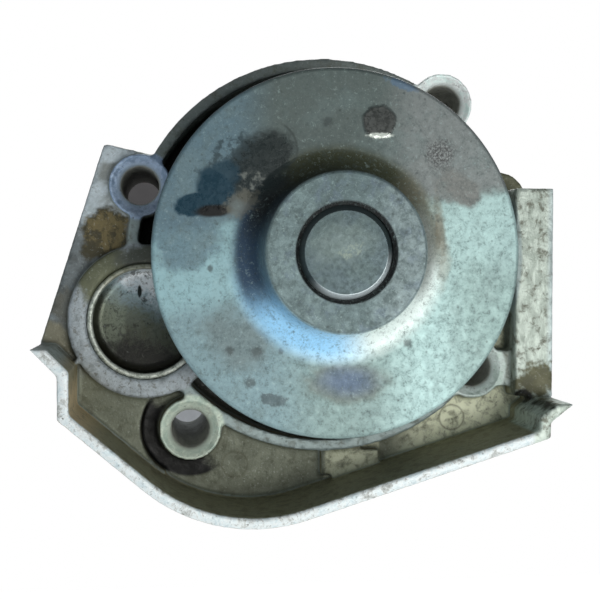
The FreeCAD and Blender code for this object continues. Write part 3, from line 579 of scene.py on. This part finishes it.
def pulleyFinish():
    f = Finish("pulleySteel")
    broad = f.noise(8.0, 4.0, 0.6, 0.5)
    fine = f.noise(1.5, 5.0, 0.7, 0.3, 4.0)
    grit = f.noise(0.42, 3.0, 0.75, 0.0, 2.0)
    uneven = (broad - 0.5) * 9.0 + (fine - 0.5) * 3.0
    f.layer(None, tone(168, 198, 196))
    f.layer(f.x.ramp(16.0, 4.0), tone(132, 156, 153))
    f.layer(f.x.ramp(0.0, -14.0), tone(126, 153, 159))
    f.layer(f.x.ramp(17.0, 25.0) * f.z.ramp(3.0, -6.0) * 0.85, tone(142, 168, 164))
    # painted light: lighter blue over the lower left
    paintedLightLowerLeft = (f.z + 5.0 - (f.x + 28.0) * 0.3 + uneven * 0.5).ramp(-8.0, -3.0)
    paintedLightLowerLeft = paintedLightLowerLeft * f.x.ramp(-10.0, -16.0)
    f.layer(paintedLightLowerLeft * f.z.ramp(-16.0, -8.0), tone(146, 182, 188))
    # painted shade: the darker upper half, whose lower edge falls from the right to the left
    edge = f.z - (f.x * 0.12 + 7.6) + uneven * 0.4
    paintedShadeUpper = edge.ramp(-1.2, 1.8)
    f.layer(paintedShadeUpper, tone(90, 102, 99))
    f.layer(paintedShadeUpper * f.x.ramp(-10.0, -20.0), tone(97, 123, 134))
    f.layer(paintedShadeUpper * f.x.ramp(6.0, 15.0), tone(126, 133, 132))
    f.layer(f.spot(-26.5, 2.0, 6.0, 4.6, 20.0, wobble=0.5) * 0.8, tone(92, 118, 130))
    f.layer(f.spot(21.0, 11.6, 4.4, 2.8, -20.0, wobble=0.5), tone(118, 121, 118))
    f.layer(broad.ramp(0.5, 0.72) * 0.3, tone(118, 138, 138))
    f.layer(f.noise(3.4, 4.0, 0.6, 0.2, 8.0).ramp(0.5, 0.72) * 0.35, tone(102, 120, 118))
    # worn blue patch at the foot, and smaller marks
    f.layer(f.spot(1.2, -22.4, 7.4, 3.6, wobble=0.4, soft=0.25) * 0.85, tone(104, 114, 108))
    f.layer(f.spot(1.8, -22.3, 4.4, 2.2, wobble=0.3, soft=0.7) * 0.75, tone(84, 104, 134))
    f.layer(f.spot(-11.4, -25.5, 2.4, 1.0, -6.0, wobble=0.7, grain=1.2) * 0.8, tone(72, 86, 90))
    f.layer(f.spot(-17.2, -15.5, 6.4, 4.6, -30.0, wobble=0.7, soft=0.5) * 0.6, tone(98, 108, 106))
    for x, z, size in ((-14.3, -17.1, 1.0), (-10.0, -17.0, 0.5), (-19.0, -16.9, 0.7),
                       (-15.4, -22.4, 0.9), (-22.4, -2.6, 0.5), (12.4, -15.7, 0.8),
                       (-1.9, 22.9, 0.8)):
        f.layer(f.spot(x, z, size, grain=0.8, wobble=0.9, soft=0.5) * 0.7, tone(58, 66, 66))
    # the flare out to the hub, with painted light and shade: a highlight on the lower right, a sky
    # reflection on the lower left, lighter on the right, dark blue to near black on the left and
    # upper left
    flare = f.band(f.radius, 13.6, 18.6, 1.8)
    f.layer(flare * f.sector(-48.0, 56.0, 26.0), tone(226, 240, 236))
    f.layer(flare * f.sector(238.0, 38.0, 18.0), tone(156, 212, 248))
    f.layer(f.band(f.radius, 13.6, 18.4, 1.2) * f.sector(170.0, 40.0, 16.0), tone(50, 74, 98))
    f.layer(f.band(f.radius, 13.6, 17.4, 1.4) * f.sector(128.0, 34.0, 18.0), tone(12, 20, 22))
    # olive-brown over the top of the flare: tarnish and painted shade
    flareTintAndShade = f.band(f.radius, 14.0, 18.6, 1.2) * (0.6 + fine.ramp(0.25, 0.5) * 0.4)
    f.layer(flareTintAndShade * f.sector(80.0, 46.0, 16.0), tone(60, 64, 42))
    f.layer(flareTintAndShade * f.sector(22.0, 24.0, 12.0) * 0.85, tone(106, 105, 88))
    f.layer(f.band(f.radius, 14.4, 16.8, 1.2) * f.sector(0.0, 24.0, 10.0) * 0.8,
            tone(146, 152, 148))
    streak = f.spot(18.0, 4.6, 0.9, 4.6, 6.0, wobble=0.7, soft=0.5, grain=1.4)
    f.layer(streak * 0.75, tone(112, 106, 88))
    f.layer(f.spot(18.9, -2.2, 1.0, 3.6, -6.0, wobble=0.8, soft=0.5, grain=1.4) * 0.5,
            tone(128, 126, 112))
    # hub face, and painted shade in the gap round the shaft
    hub = f.radius.ramp(13.9, 13.3) * f.height.ramp(66.5, 67.2)
    f.layer(hub, f.between(broad.ramp(0.3, 0.7), tone(91, 110, 112), tone(114, 134, 135)))
    f.layer(hub * f.x.ramp(2.0, 10.0) * 0.5, tone(134, 148, 150))
    f.layer(hub * fine.ramp(0.42, 0.66) * 0.6, tone(82, 98, 98))
    f.layer(hub * f.noise(2.4, 4.0, 0.6, 0.0, 21.0).ramp(0.5, 0.7) * 0.4, tone(94, 110, 128))
    # painted shade: near black down the bore round the shaft
    f.layer(f.radius.ramp(8.9, 8.4) * f.height.ramp(60.0, 62.0), tone(6, 7, 7))
    # soft mottling, with few distinct spots
    mottle = f.noise(0.9, 4.0, 0.8, 0.2, 31.0)
    f.layer(fine.ramp(0.44, 0.7) * grit.ramp(0.42, 0.64) * 0.6, tone(74, 88, 86))
    f.layer(mottle.ramp(0.5, 0.7) * 0.5, tone(74, 88, 88))
    f.layer(mottle.ramp(0.44, 0.3) * 0.3, tone(176, 200, 198))
    f.layer(f.specks(2.3, 0.03, 0.12, 6.0) * 0.5, tone(56, 64, 62))
    f.layer(grit.ramp(0.42, 0.28) * 0.18, tone(196, 214, 210))
    # oil stain on the upper left
    lobe = f.spot(-13.6, 16.0, 6.2, 4.2, 32.0, wobble=0.45)
    lobe = lobe.most(f.spot(-14.6, 12.0, 5.4, 3.0, 10.0, wobble=0.45))
    f.layer(lobe * 0.95, tone(30, 41, 41))
    f.layer(f.band(f.spot(-10.6, 19.0, 3.0, 4.0, 30.0, wobble=0.1, soft=0.3), 0.35, 0.65, 0.15)
            * f.x.ramp(-10.6, -9.0) * 0.7, tone(52, 62, 60))
    ragged = f.spot(-19.6, 16.6, 5.2, 2.4, 42.0, wobble=1.0, soft=0.3, grain=1.3)
    f.layer(ragged * fine.ramp(0.42, 0.56) * 0.8, tone(44, 62, 68))
    tip = f.spot(-25.0, 8.4, 3.6, 2.0, 14.0, wobble=0.25, soft=0.12, grain=1.6)
    oil = tip.most(f.spot(-21.4, 10.8, 3.2, 4.0, 24.0, wobble=0.2, soft=0.2))
    oil = oil.most(f.spot(-19.8, 13.6, 2.6, 2.4, wobble=0.4) * 0.8)
    f.layer(oil, tone(20, 58, 74))
    f.layer(f.spot(-21.8, 7.3, 3.2, 1.0, 4.0, wobble=0.2, soft=0.3), tone(3, 6, 7))
    crumbs = f.spot(-14.6, 12.6, 3.0, 1.8, wobble=0.9, grain=0.9) * fine.ramp(0.5, 0.62)
    f.layer(crumbs * 0.6, tone(128, 134, 128))
    f.layer(f.spot(-17.0, 8.6, 3.0, 2.0, 30.0, wobble=0.8, grain=1.2) * 0.55, tone(112, 112, 100))
    drop = f.spot(7.2, 23.0, 2.9, wobble=0.2, soft=0.12, grain=2.0)
    f.layer(drop, f.between(fine.ramp(0.4, 0.6), tone(54, 58, 56), tone(76, 80, 78)))
    # a painted highlight along the lower edge of the drop
    f.layer(f.spot(7.3, 20.7, 2.2, 0.5, wobble=0.7, grain=0.8) * 0.85, tone(206, 214, 206))
    crust = f.spot(18.0, 17.6, 2.5, wobble=0.6, soft=0.4, grain=1.2)
    f.layer(crust * grit.ramp(0.4, 0.6) * 0.9, tone(70, 70, 70))
    f.layer(crust * grit.ramp(0.48, 0.34) * 0.5, tone(150, 152, 152))
    f.layer(f.spot(11.1, 29.7, 2.8, 0.8, -20.0, wobble=0.8, grain=1.2) * 0.7, tone(88, 116, 142))
    f.layer(f.height.ramp(56.4, 54.0) * 0.5, tone(96, 100, 96))
    wet = oil.most(lobe).most(drop)
    relief = f.noise(0.8, 4.0, 0.7) * 0.6 + drop * 2.0
    rough = fine.ramp(0.3, 0.7, 0.42, 0.56) - wet * 0.2
    return f.done(rough, 0.35, relief, 0.06)


def shaftFinish():
    f = Finish("shaftSteel")
    broad = f.noise(3.0, 4.0, 0.6, 0.4)
    fine = f.noise(0.8, 5.0, 0.7)
    f.layer(None, tone(74, 90, 91))
    f.layer(broad.ramp(0.35, 0.65) * 0.7, tone(70, 85, 91))
    f.layer(fine.ramp(0.45, 0.7) * 0.45, tone(62, 75, 75))
    worn = f.spot(0.8, 0.4, 2.2, 1.1, 20.0, wobble=0.9, grain=1.2)
    f.layer(worn * fine.ramp(0.4, 0.62) * 0.65, tone(142, 154, 140))
    f.layer(f.spot(-1.0, 1.6, 4.6, 3.0, 10.0, wobble=0.8, grain=2.0, soft=0.6) * 0.25,
            tone(140, 156, 150))
    f.layer(f.specks(1.5, 0.04, 0.18) * 0.4, tone(62, 72, 74))
    # painted highlight on the lower side of the end chamfer and painted shade on its upper side
    edge = f.band(f.radius, 7.0, 7.9, 0.1) * f.height.ramp(66.0, 66.4)
    low = (f.z * -0.92 + f.x * 0.35) / f.radius.most(0.01)
    f.layer(edge * low.ramp(0.2, 0.8), tone(226, 240, 244))
    f.layer(edge * low.ramp(-0.2, -0.7) * 0.6, tone(70, 80, 82))
    return f.done(fine.ramp(0.3, 0.7, 0.34, 0.48), 0.55, broad * 0.6 + fine * 0.5, 0.05)


def plugFinish():
    f = Finish("corePlugSteel")
    broad = f.noise(5.0, 4.0, 0.65, 0.5)
    fine = f.noise(1.0, 5.0, 0.7, 0.3, 2.0)
    dishRadius = 9.8
    across, up = f.x - plug["x"], f.z - plug["z"]
    away = (across * across + up * up) ** 0.5
    slope = (across * 0.35 + up * 0.94) / dishRadius
    f.layer(None, tone(94, 102, 90))
    f.layer(broad.ramp(0.35, 0.65) * 0.8, tone(60, 62, 44))
    # painted light: the dish lighter towards the top, near white at the top
    paintedLight = slope + (broad - 0.5) * 0.7 + (fine - 0.5) * 0.9
    f.layer(paintedLight.ramp(-0.1, 0.6), tone(164, 188, 196))
    f.layer(paintedLight.ramp(0.3, 0.75), tone(246, 252, 255))
    # painted shade: near black towards the bottom of the dish
    f.layer((slope + (fine - 0.5) * 0.9 + (broad - 0.5) * 0.8).ramp(-0.05, -0.6), tone(17, 17, 10))
    f.layer(f.spot(-41.0, -11.0, 3.4, 5.8, 10.0, wobble=0.6) * fine.ramp(0.3, 0.6) * 0.6,
            tone(128, 138, 120))
    f.layer(fine.ramp(0.5, 0.66) * 0.55, tone(50, 54, 44))
    f.layer(f.noise(1.7, 5.0, 0.75, 0.4, 9.0).ramp(0.54, 0.64) * 0.7, tone(34, 36, 28))
    scratches = f.spot(-30.6, -5.6, 0.5, 1.6, wobble=0.6, grain=0.8)
    f.layer(scratches.most(f.spot(-35.0, -7.0, 0.4, 1.2, wobble=0.6)), tone(34, 40, 38))
    lip = away.ramp(9.6, 10.0) * f.height.ramp(38.2, 38.8)
    f.layer(lip, f.between(fine.ramp(0.35, 0.6), tone(122, 130, 120), tone(204, 210, 200)))
    # painted shade on the top of the lip
    f.layer(lip * slope.ramp(0.1, 0.6) * 0.6, tone(120, 118, 90))
    # painted shade in the inner corner at the bottom of the dish
    f.layer(away.ramp(8.4, 9.2) * f.height.ramp(38.4, 37.6) * slope.ramp(0.5, 0.0) * 0.75,
            tone(38, 37, 26))
    f.layer(f.specks(1.4, 0.06, 0.14) * fine.ramp(0.4, 0.55) * 0.6, tone(36, 36, 28))
    f.layer(fine.ramp(0.4, 0.26) * 0.25, tone(176, 186, 180))
    return f.done(fine.ramp(0.3, 0.7, 0.32, 0.5), 0.45, f.noise(0.6, 4.0, 0.7), 0.06)


# two tones, roughness, metallic, and where they differ from the usual, patch size and relief
plainLooks = {
    "sealRubber": (tone(34, 34, 35), tone(52, 51, 50), 0.62, 0.0),
    "bearingSteel": (tone(150, 152, 154), tone(176, 178, 180), 0.26, 0.9),
    "sealSteel": (tone(162, 160, 156), tone(184, 182, 178), 0.32, 0.9),
    "springSteel": (tone(140, 142, 146), tone(168, 168, 170), 0.3, 0.9),
    "sealCarbon": (tone(30, 31, 33), tone(44, 45, 47), 0.45, 0.0),
    "sealCeramic": (tone(222, 218, 208), tone(206, 202, 194), 0.3, 0.0),
    "impellerPlastic": (tone(44, 42, 40), tone(60, 57, 53), 0.5, 0.0, 4.0, 0.04),
    "bushBrass": (tone(176, 146, 84), tone(150, 122, 70), 0.34, 0.9),
    "cagePlastic": (tone(190, 170, 130), tone(172, 152, 114), 0.5, 0.0),
}
finishes = {
    "castAluminium": castAluminiumFinish(),
    "pulleySteel": pulleyFinish(),
    "shaftSteel": shaftFinish(),
    "corePlugSteel": plugFinish(),
}
for name, looks in plainLooks.items():
    finishes[name] = plainFinish(name, *looks)
print("stage: finishes ready")


# Housing

castHousing = {"voxel": 0.42, "smoothing": 2, "skin": 0.12}


def housingPieces():
    item = remeshed("pump_housing", "castHousing", castHousing, finishes["castAluminium"])
    settle(item, "housing", "cast_aluminium", "pump_housing")


housingPieces()

plugShape = {"sheet": 1.1, "dish": 4.0, "lip": 0.5, "innerRound": 1.6}


def corePlugPiece():
    at = reach("core_plug")
    floor = at["front"] - plugShape["dish"]
    inner = at["radius"] - plugShape["sheet"]
    item = turned("corePlug", [
        (0, at["back"]),
        (at["radius"], at["back"], plugShape["sheet"]),
        (at["radius"], at["front"], plugShape["lip"]),
        (inner, at["front"], plugShape["lip"]),
        (inner, floor, plugShape["innerRound"]),
        (0, floor),
    ], finishes["corePlugSteel"], at["x"], at["z"])
    settle(item, "housing", "core_plug_steel", "core_plug")


corePlugPiece()

gasketShape = {"voxel": 0.3, "smoothing": 2, "skin": 0}


def gasketPiece():
    item = remeshed("face_gasket", "faceGasket", gasketShape, finishes["sealRubber"])
    settle(item, "housing", "seal_rubber", "face_gasket")


gasketPiece()

pulleyShape = {
    "rimWall": 2.5, "web": 3.0, "edge": 0.7, "bore": 7.959, "hubBack": 12.5, "flare": 8.6,
    "hubRise": 9.9, "hubFace": 13.75, "boreChamfer": 0.65, "hubEdge": 0.6, "coneWidth": 2.0,
    "hubBackDrop": 0.5, "coneEase": 0.4, "rimRound": 1.25, "chamferEase": 0.1, "boreEase": 0.05,
    "turn": 320,
}


def pulleyPiece():
    p = pulleyShape
    at = reach("drive_pulley")
    rimFront = at["front"] - p["hubRise"]
    webBack = rimFront - p["web"]
    rimInner = at["radius"] - p["rimWall"]
    hubBack = webBack - p["hubBackDrop"]
    item = turned("drivePulley", [
        (p["bore"], hubBack),
        (p["hubBack"], hubBack),
        (p["hubBack"] + p["coneWidth"], webBack, p["coneEase"]),
        (rimInner, webBack, p["rimRound"]),
        (rimInner, at["back"]),
        (at["radius"], at["back"], p["edge"]),
        (at["radius"], rimFront, p["edge"]),
        (p["hubFace"], rimFront, p["flare"]),
        (p["hubFace"], at["front"], p["hubEdge"]),
        (p["bore"] + p["boreChamfer"], at["front"], p["chamferEase"]),
        (p["bore"], at["front"] - p["boreChamfer"], p["boreEase"]),
    ], finishes["pulleySteel"], steps=p["turn"])
    settle(item, "rotor", "pulley_steel", "drive_pulley")


pulleyPiece()

shaftShape = {
    "chamfer": 0.9, "seal": 6.35, "step": 23.0, "stepRise": 1.0, "endEase": 0.5, "frontEase": 0.15,
}


def shaftPiece():
    p = shaftShape
    at = reach("pump_shaft")
    item = turned("pumpShaft", [
        (0, at["back"]),
        (p["seal"] - p["endEase"], at["back"]),
        (p["seal"], at["back"] + p["endEase"]),
        (p["seal"], p["step"]),
        (at["radius"], p["step"] + p["stepRise"]),
        (at["radius"], at["front"] - p["chamfer"], p["frontEase"]),
        (at["radius"] - p["chamfer"], at["front"], p["frontEase"]),
        (0, at["front"]),
    ], finishes["shaftSteel"])
    settle(item, "rotor", "shaft_steel", "pump_shaft")


shaftPiece()


def hollowPiece(node, name, inner, finish, body, slotName, ease=plainEase):
    # a plain ring whose outside comes from its node
    at = reach(node)
    item = turned(name, [
        (inner, at["back"], ease), (at["radius"], at["back"], ease),
        (at["radius"], at["front"], ease), (inner, at["front"], ease),
    ], finishes[finish], steps=sealTurn)
    settle(item, body, slotName, node)


# Bearing

bearingShape = {
    "race": 12.6, "ringEase": 0.5, "sealInner": 8.04, "balls": 8, "rollers": 10, "track": 10.28,
    "ballSteps": 16, "rollerEase": 0.3, "turn": 32,
}

hollowPiece("bearing_outer_ring", "bearingOuterRing", bearingShape["race"], "bearingSteel",
            "housing", "bearing_steel", bearingShape["ringEase"])
for side in ("front", "rear"):
    hollowPiece(f"bearing_seal_{side}", f"bearingSeal{side.title()}", bearingShape["sealInner"],
                "sealRubber", "housing", "seal_rubber")


def rollingPieces():
    p = bearingShape
    rows = (("bearing_balls", "bearingBalls", "ball_set", p["balls"]),
            ("bearing_rollers", "bearingRollers", "roller_set", p["rollers"]))
    for node, name, body, count in rows:
        low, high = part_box(node)
        radius = high.x / mm - p["track"]
        middle = -(low.y + high.y) / 2 / mm
        half = (high.y - low.y) / 2 / mm
        if body == "ball_set":
            corners = [(0, middle - radius)]
            turns = [math.pi * i / p["ballSteps"] for i in range(1, p["ballSteps"])]
            corners += [(radius * math.sin(turn), middle - radius * math.cos(turn))
                        for turn in turns]
            corners += [(0, middle + radius)]
        else:
            corners = [(0, middle - half), (radius, middle - half, p["rollerEase"]),
                       (radius, middle + half, p["rollerEase"]), (0, middle + half)]
        one = turned(name + "One", corners, finishes["bearingSteel"], p["track"], 0.0, p["turn"])
        item = grown(one, "around", name, Count=count, Material=finishes["bearingSteel"])
        settle(outward(item), body, "bearing_steel", node)


rollingPieces()

cageShape = {"voxel": 0.3, "smoothing": 2, "skin": 0}

for node, name, body in (("ball_cage", "ballCage", "ball_set"),
                         ("roller_cage", "rollerCage", "roller_set")):
    cage = remeshed(node, name, cageShape, finishes["cagePlastic"])
    settle(cage, body, "cage_plastic", node)


# Shaft seal

sealShape = {
    "carbonInner": 7.9, "seat": 13.0, "sheet": 0.8, "lip": 9.4, "bellowsWall": 0.7,
    "carbonOuter": 10.6, "springTurns": 3.0, "wire": 0.4, "wireShare": 0.98, "cupWall": 1.2,
    "sleeve": 6.85, "shaft": 6.35, "sheetEase": 0.3, "caseEase": 0.6, "thinEase": 0.1,
}


def sealPieces():
    p = sealShape
    case = reach("seal_case")
    item = turned("sealCase", [
        (p["seat"] - p["sheet"], case["back"]),
        (case["radius"], case["back"]),
        (case["radius"], case["back"] + p["sheet"]),
        (p["seat"], case["back"] + p["sheet"], p["sheetEase"]),
        (p["seat"], case["front"], p["caseEase"]),
        (p["lip"], case["front"]),
        (p["lip"], case["front"] - p["sheet"]),
        (p["seat"] - p["sheet"], case["front"] - p["sheet"]),
    ], finishes["sealSteel"], steps=sealTurn)
    settle(item, "housing", "seal_steel", "seal_case")
    hollowPiece("seal_carbon_ring", "sealCarbonRing", p["carbonInner"], "sealCarbon", "housing",
                "seal_carbon")
    bellows = reach("seal_bellows")
    item = turned("sealBellows", [
        (p["lip"] - p["bellowsWall"] * 2, bellows["back"]),
        (bellows["radius"], bellows["back"]),
        (p["lip"], bellows["back"] + p["bellowsWall"] * 2),
        (p["lip"], bellows["front"]),
        (p["lip"] - p["bellowsWall"], bellows["front"]),
        (p["lip"] - p["bellowsWall"], bellows["back"] + p["bellowsWall"] * 2),
    ], finishes["sealRubber"], steps=sealTurn)
    settle(item, "housing", "seal_rubber", "seal_bellows")
    hollowPiece("spring_seat", "springSeat", p["carbonOuter"], "sealSteel", "housing", "seal_steel",
                p["thinEase"])
    spring = reach("seal_spring")
    item = grown(bare("springSeed"), "spring", "sealSpring", Turns=p["springTurns"],
                 Coil_Radius=(spring["radius"] - p["wire"]) * mm,
                 Rise=(spring["front"] - spring["back"] - 2 * p["wire"]) * mm,
                 Wire_Radius=p["wire"] * mm * p["wireShare"], Material=finishes["springSteel"])
    item.data.transform(Matrix.Translation((0, -(spring["back"] + p["wire"]) * mm, 0)))
    settle(outward(item, samePlace), "housing", "spring_steel", "seal_spring")
    hollowPiece("seal_mating_ring", "sealMatingRing", p["carbonInner"], "sealCeramic", "rotor",
                "seal_ceramic")
    cup = reach("mating_ring_cup")
    ring = reach("seal_mating_ring")
    item = turned("matingRingCup", [
        (p["sleeve"], cup["back"]),
        (cup["radius"], cup["back"]),
        (cup["radius"], cup["front"]),
        (cup["radius"] - p["cupWall"], cup["front"]),
        (cup["radius"] - p["cupWall"], ring["back"]),
        (p["carbonInner"], ring["back"]),
        (p["carbonInner"], cup["front"]),
        (p["sleeve"], cup["front"]),
    ], finishes["sealRubber"], steps=sealTurn)
    settle(item, "rotor", "seal_rubber", "mating_ring_cup")
    hollowPiece("seal_sleeve", "sealSleeve", p["shaft"], "sealSteel", "rotor", "seal_steel",
                p["thinEase"])
    hollowPiece("impeller_bush", "impellerBush", p["shaft"], "bushBrass", "rotor", "bush_brass")


sealPieces()

impellerShape = {"voxel": 0.3, "smoothing": 2, "skin": 0.05}


def impellerPiece():
    item = remeshed("impeller", "impellerBody", impellerShape, finishes["impellerPlastic"])
    settle(item, "rotor", "impeller_plastic", "impeller")


impellerPiece()
print("stage: pieces ready")


# Floor, light and camera

studio = {
    "floorDrop": 150.0, "floorSize": 560.0, "floorGlow": 0.6,
    "camera": (-29.2, -256.1, -3.8),
    "right": (0.99364, -0.11255, 0.00244),
    "up": (0.0, 0.02166, 0.99969),
    "lens": 68.76,
    "sensor": 36.0,
    "clipStart": 10.0,
    "target": (0.0, -45.0, -5.0),
    "lights": (
        ("key", (110.0, -450.0, -60.0), 140.0, 0.62, (1.0, 0.99, 0.96)),
        ("rightKey", (230.0, -380.0, -160.0), 200.0, 0.28, (1.0, 0.99, 0.97)),
        ("leftFill", (-260.0, -380.0, -60.0), 260.0, 0.2, (0.86, 0.94, 1.0)),
        ("back", (100.0, 320.0, 260.0), 300.0, 0.9, (1.0, 1.0, 1.0)),
    ),
    "ambient": 0.2,
    "ambientTone": (0.92, 0.96, 1.0, 1.0),
    "white": (1.0, 1.0, 1.0, 1.0),
    "underlay": {"upperLeft": (80, 79, 80), "lowerLeft": (146, 150, 154)},
    "paper": {"radius": 4.6, "behind": 0.4, "corners": 24},
}


def floorFinish():
    f = Finish("floorPaper")
    f.layer(None, tone(250, 250, 250))
    f.layer(f.noise(30.0) * 0.1, tone(244, 244, 244))
    f.shader.inputs["Emission Color"].default_value = studio["white"]
    f.shader.inputs["Emission Strength"].default_value = studio["floorGlow"]
    return f.done(0.7, 0.0, f.noise(1.0), 0.01)


def underlayPiece(place, colour):
    # a glowing sheet behind a bolt hole, painted with the shade seen through the hole, seen from
    # the front only
    (x, z), sheet = place, studio["paper"]
    f = Finish("holeShadeGlow")
    f.layer(None, tone(*colour))
    f.layer(f.noise(2.0) * 0.5, tone(*[c * 0.7 for c in colour]))
    feed(f.tree, f.colour, f.shader.inputs["Emission Color"])
    f.shader.inputs["Emission Strength"].default_value = 1.0
    feed(f.tree, 1 - make(f.tree, "ShaderNodeNewGeometry", {}, 6), f.shader.inputs["Alpha"])
    turns = [2 * math.pi * i / sheet["corners"] for i in range(sheet["corners"])]
    rim = [((x + sheet["radius"] * math.cos(turn)) * mm, sheet["behind"] * mm,
            (z + sheet["radius"] * math.sin(turn)) * mm) for turn in turns]
    paper = bare("underlay", rim, (), [tuple(range(sheet["corners"]))])
    paper.data.materials.append(f.done(0.8, 0.0, f.noise(0.5), 0.02))


def stageAndLight():
    half = studio["floorSize"] / 2 * mm
    drop = -studio["floorDrop"] * mm
    corners = [(-half, -half, drop), (half, -half, drop), (half, half, drop), (-half, half, drop)]
    floor = bare("floor", corners, (), [(0, 1, 2, 3)])
    floor.data.materials.append(floorFinish())
    for hole, colour in studio["underlay"].items():
        underlayPiece(boltHoles[hole], colour)
    target = Vector(studio["target"]) * mm
    for name, at, size, power, colour in studio["lights"]:
        lamp = bpy.data.lights.new(name, "AREA")
        lamp.shape = "DISK"
        lamp.size = size * mm
        lamp.energy = power
        lamp.color = colour
        item = bpy.data.objects.new(name, lamp)
        item.location = Vector(at) * mm
        item.rotation_euler = (target - item.location).to_track_quat("-Z", "Y").to_euler()
        scene.collection.objects.link(item)
    world = bpy.data.worlds.new("studio")
    scene.world = world
    world.use_nodes = True
    tree = world.node_tree
    tree.nodes.clear()
    seen = make(tree, "ShaderNodeLightPath", {}, 0)
    ambient = make(tree, "ShaderNodeBackground", {}, 0,
                   Color=studio["ambientTone"], Strength=studio["ambient"])
    plainWhite = make(tree, "ShaderNodeBackground", {}, 0, Color=studio["white"], Strength=1.0)
    both = make(tree, "ShaderNodeMixShader", {}, 0, at0=seen, at1=ambient, at2=plainWhite)
    leave = tree.nodes.new("ShaderNodeOutputWorld")
    tree.links.new(both.out, leave.inputs["Surface"])


def cameraPiece():
    data = bpy.data.cameras.new("camera")
    data.lens = studio["lens"]
    data.sensor_width = studio["sensor"]
    data.clip_start = studio["clipStart"] * mm
    item = bpy.data.objects.new("camera", data)
    scene.collection.objects.link(item)
    right, up = Vector(studio["right"]), Vector(studio["up"])
    back = right.cross(up).normalized()
    up = back.cross(right).normalized()
    turn = Matrix((right, up, back)).transposed()
    item.matrix_world = Matrix.Translation(Vector(studio["camera"]) * mm) @ turn.to_4x4()
    scene.camera = item


stageAndLight()
cameraPiece()
scene.view_settings.view_transform = "Standard"
print("stage: studio ready")
